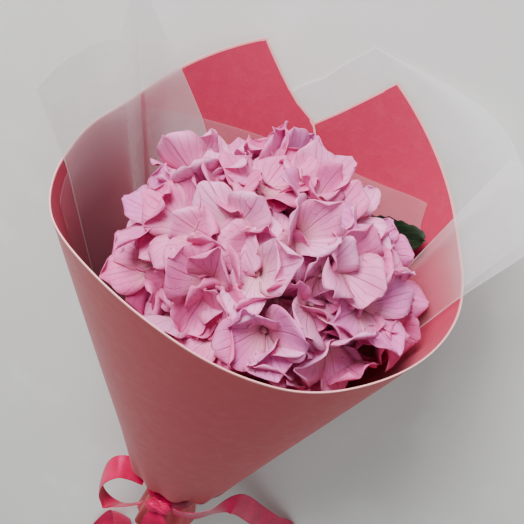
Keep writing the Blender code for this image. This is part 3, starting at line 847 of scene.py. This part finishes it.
# ------------------------------------------------ leaves
leaves = {
    "leaf_upper": {"path": [(0.0, 178, 0.088, -0.044), (0.28, 176, 0.115, -0.022), (0.5, 165, 0.155, -0.0065),
                            (0.8, 137, 0.192, -0.0070), (1.0, 118, 0.216, -0.0090)], "half": 0.024, "tilt": 0.73},
    "leaf_lower": {"path": [(0.0, 92, 0.070, -0.046), (0.28, 98, 0.100, -0.026), (0.5, 102, 0.130, -0.014),
                            (1.0, 108, 0.198, -0.0125)], "half": 0.022, "tilt": 0.0},
}


def leafPiece(name, facts):
    teeth = 17

    def pathAt(t):
        spread = [min(1.0, max(0.0, t + d)) for d in (-0.06, -0.03, 0.0, 0.03, 0.06)]
        return [sum(readOff([(p[0], p[k]) for p in facts["path"]], x) for x in spread) / 5 for k in (1, 2, 3)]

    def spotAt(s, t, i, j):
        degrees, along, lift = pathAt(t)
        blade = max(0.0, (t - 0.28) / 0.72)
        width = 0.0014 + facts["half"] * max(0.0, math.sin(math.pi * min(1.0, blade ** 0.8))) ** 0.8
        x = 2 * s - 1
        tooth = 1.0
        if abs(x) > 0.8 and blade > 0.02:
            tooth = 1 - 0.13 * ((blade * teeth) % 1.0)
        across = x * width * tooth
        fold = -0.05 * abs(x) * width + 0.0006 * math.sin(26 * t + 4 * x)
        return wrapPoint(degrees + math.degrees(across * math.cos(facts["tilt"]) / halfAxes(along)[0]),
                         along + across * math.sin(facts["tilt"]), lift - fold)

    obj = gridPiece(name, 10, 3 * teeth + 14, spotAt, lambda s, t, i, j: (s, t))
    obj.data.materials.append(leafBlade)
    thicken(obj, 0.0005)
    smoothShade(obj, 60)
    return obj


for node, facts in leaves.items():
    leaf = leafPiece(node.replace("leaf_", "toothedLeaf_"), facts)
    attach(leaf, "root")
    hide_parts(node)
print("stem and leaves made")

# ------------------------------------------------ ribbon
ribbon = {
    "width": 0.015, "thick": 0.0004,
    "loop": ([(-0.0146, 0.0215, -0.0150), (-0.027, 0.0205, -0.029), (-0.0365, 0.018, -0.040),
              (-0.0455, 0.014, -0.034), (-0.045, 0.011, -0.019), (-0.0385, 0.0085, -0.0090),
              (-0.030, 0.006, -0.0090), (-0.0195, 0.004, -0.0130)],
             [(0.6, 0.7, -0.5), (0.4, 0.7, -0.5), (0.0, 0.5, -0.9), (-1.0, 0.3, -0.3),
              (-1.0, 0.2, 0.3), (-0.4, 0.3, 1.0), (0.3, 0.3, 1.0), (0.6, 0.3, 0.7)], 0.096),
    "front": ([(-0.0055, 0.0225, -0.0192), (-0.0045, 0.0262, -0.030), (-0.006, 0.0270, -0.050),
               (-0.012, 0.0220, -0.072), (-0.022, 0.008, -0.092), (-0.031, -0.012, -0.105),
               (-0.040, -0.0105, -0.128), (-0.045, -0.0065, -0.150)],
              [(0.0, 1.0, 0.3), (0.0, 1.0, 0.0), (0.0, 1.0, 0.0), (-0.1, 1.0, -0.2),
               (-0.2, 0.7, -0.8), (-0.2, 0.8, -0.7), (0.0, 1.0, 0.18), (0.0, 1.0, 0.18)], 0.159),
    "side": ([(0.0045, 0.0225, -0.0125), (0.0160, 0.0225, -0.0105), (0.0280, 0.0185, -0.0050),
              (0.0385, 0.0120, -0.0010), (0.0460, 0.0060, -0.0080), (0.0598, -0.0040, -0.0310),
              (0.0726, -0.0120, -0.0489), (0.0830, -0.0205, -0.0620), (0.0900, -0.0208, -0.0750),
              (0.0980, -0.0178, -0.0905)],
             [(0.0, 1.0, -0.2), (0.1, 1.0, -0.3), (0.4, 0.9, -0.3), (0.6, 0.7, 0.3),
              (0.8, 0.6, 0.3), (0.7, 0.7, 0.3), (0.6, 0.8, 0.3), (0.3, 0.9, 0.2),
              (0.0, 1.0, 0.18), (0.0, 1.0, 0.18)], 0.157),
}


def curveThrough(spots, share):
    pts = [Vector(p) for p in spots]
    pts = [2 * pts[0] - pts[1], *pts, 2 * pts[-1] - pts[-2]]
    spans = len(pts) - 3
    x = min(share * spans, spans - 1e-9)
    k, t = int(x), x - int(x)
    a, b, c, d = pts[k:k + 4]
    return 0.5 * (2 * b + (c - a) * t + (2 * a - 5 * b + 4 * c - d) * t * t + (3 * b - a - 3 * c + d) * t ** 3)


def ribbonStrip(name, spots, facings, forkedEnd):
    def spotAt(s, t, i, j):
        here = curveThrough(spots, t)
        ahead = (curveThrough(spots, min(1, t + 0.01)) - curveThrough(spots, max(0, t - 0.01))).normalized()
        normal = curveThrough(facings, t)
        normal = (normal - ahead * normal.dot(ahead)).normalized()
        across = ahead.cross(normal)
        x = s - 0.5
        pinch = 1.0 - 0.35 * (1 - smooth01(t / 0.10))  # gathered where it leaves the knot
        curl = 0.0007 * (4 * x * x) * math.sin(9 * t + 1.0)
        spot = here + across * (ribbon["width"] * x * pinch) + normal * curl
        if forkedEnd:  # the end is cut on a slant
            spot += ahead * (0.006 * x * smooth01((t - 0.9) / 0.1))
        return place(*spot)

    obj = gridPiece(name, 6, 70, spotAt, lambda s, t, i, j: (s, t))
    obj.data.materials.append(satin)
    thicken(obj, ribbon["thick"])
    return obj


for part, node in (("loop", "ribbon_loop"), ("front", "ribbon_tail_front"), ("side", "ribbon_tail_side")):
    spots, facings, length = ribbon[part]
    strip = ribbonStrip("satin_" + part, spots, facings, part != "loop")
    lastSteps(strip, node)


def ribbonBand():
    # three turns round the waist, lying over each other with soft creases
    turns = 3.0

    def spotAt(s, t, i, j):
        degrees = -20 + 360 * turns * t
        climb = -0.0145 + 0.0022 * math.sin(math.radians(degrees) * 0.9 + 0.5)
        crease = 0.00022 * math.sin(30 * s + math.radians(degrees) * 2)
        lift = 0.0036 + 0.00045 * t * turns + crease + 0.0005 * (1 - (2 * s - 1) ** 2)
        return wrapPoint(degrees, climb + (s - 0.5) * 0.0088, lift - pleat(degrees, climb) * 0.6)

    obj = gridPiece("satin_band", 10, 150, spotAt, lambda s, t, i, j: (s, t))
    obj.data.materials.append(satin)
    thicken(obj, 0.00025)
    smoothShade(obj, 60)
    return obj


band = ribbonBand()
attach(band, "root")
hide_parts("ribbon_band")


def ribbonKnot():
    # a round of ribbon pulled tight: creased across its middle and fuller at both sides
    deselectAll()
    bpy.ops.mesh.primitive_uv_sphere_add(segments=36, ring_count=20, radius=1.0)
    obj = bpy.context.object
    obj.name = obj.data.name = "satin_knot"
    for v in obj.data.vertices:
        x, y, z = v.co
        turn = math.atan2(z, y)
        creases = 0.10 * math.sin(7 * turn + 5 * x) + 0.05 * math.sin(13 * turn - 4 * x)
        waist = 1 - 0.30 * math.exp(-(x * 2.4) ** 2)
        grow = waist * (1 + creases)
        v.co = place(-0.005 + 0.0086 * x, 0.0228 + 0.0047 * y * grow, -0.0125 + 0.0062 * z * grow)
    faceOutward(obj)
    obj.data.materials.append(satin)
    smoothShade(obj, 60)
    return obj


knot = ribbonKnot()
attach(knot, "root")
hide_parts("ribbon_knot")
print("ribbon made")

# ------------------------------------------------ floor, light and camera
studio = {
    "floor": (0.72, 0.715, 0.685), "ambient": 0.34, "ambientColour": (0.97, 0.98, 1.0),
    "keyPower": 58.0, "keySize": 0.7, "fillPower": 6.0,
    "elevation": 56.4, "roll": 19.0, "distance": 0.41, "focalLength": 58.87, "shift": (0.0181, -0.0073),
}


def makeFloor():
    deselectAll()
    bpy.ops.mesh.primitive_plane_add(size=8, location=(0, 0, -0.0004))
    floor = bpy.context.object
    floor.name = "paleFloor"
    floor.data.materials.append(mottledMaterial("paleFloorPaint", studio["floor"],
                                                tuple(c * 0.97 for c in studio["floor"]), 0.8, 3, 0.05, 0.001))


def makeLights():
    def area(name, spot, aim, power, size, colour):
        lamp = bpy.data.lights.new(name, "AREA")
        lamp.energy, lamp.size, lamp.color = power, size, colour
        obj = bpy.data.objects.new(name, lamp)
        bpy.context.scene.collection.objects.link(obj)
        obj.location = spot
        obj.rotation_euler = (Vector(aim) - Vector(spot)).to_track_quat("-Z", "Y").to_euler()

    area("keyLight", (0.55, -1.45, 0.75), (0, -0.12, 0.06), studio["keyPower"], studio["keySize"], (0.98, 0.98, 1.0))
    area("fillLight", (-1.1, 0.3, 1.5), (0, -0.05, 0.05), studio["fillPower"], 1.4, (0.95, 0.97, 1.0))
    world = bpy.data.worlds.new("studioAir")
    bpy.context.scene.world = world
    world.use_nodes = True
    back = world.node_tree.nodes["Background"]
    back.inputs["Color"].default_value = (*studio["ambientColour"], 1.0)
    back.inputs["Strength"].default_value = studio["ambient"]


def makeCamera():
    e, r = math.radians(studio["elevation"]), math.radians(studio["roll"])
    toCamera = Vector((0, -math.cos(e), math.sin(e)))
    across, up = Vector((-1, 0, 0)), Vector((0, -math.sin(e), -math.cos(e)))
    right = across * math.cos(r) + up * math.sin(r)
    upward = up * math.cos(r) - across * math.sin(r)
    spot = place(0, 0, bouquet["tieToHead"]) + toCamera * studio["distance"]
    data = bpy.data.cameras.new("camera")
    data.sensor_width, data.lens = 36.0, studio["focalLength"]
    data.shift_x, data.shift_y = studio["shift"]
    obj = bpy.data.objects.new("camera", data)
    bpy.context.scene.collection.objects.link(obj)
    obj.matrix_world = basis(spot, right, upward, toCamera)
    bpy.context.scene.camera = obj


makeFloor()
makeLights()
makeCamera()
print("studio made")
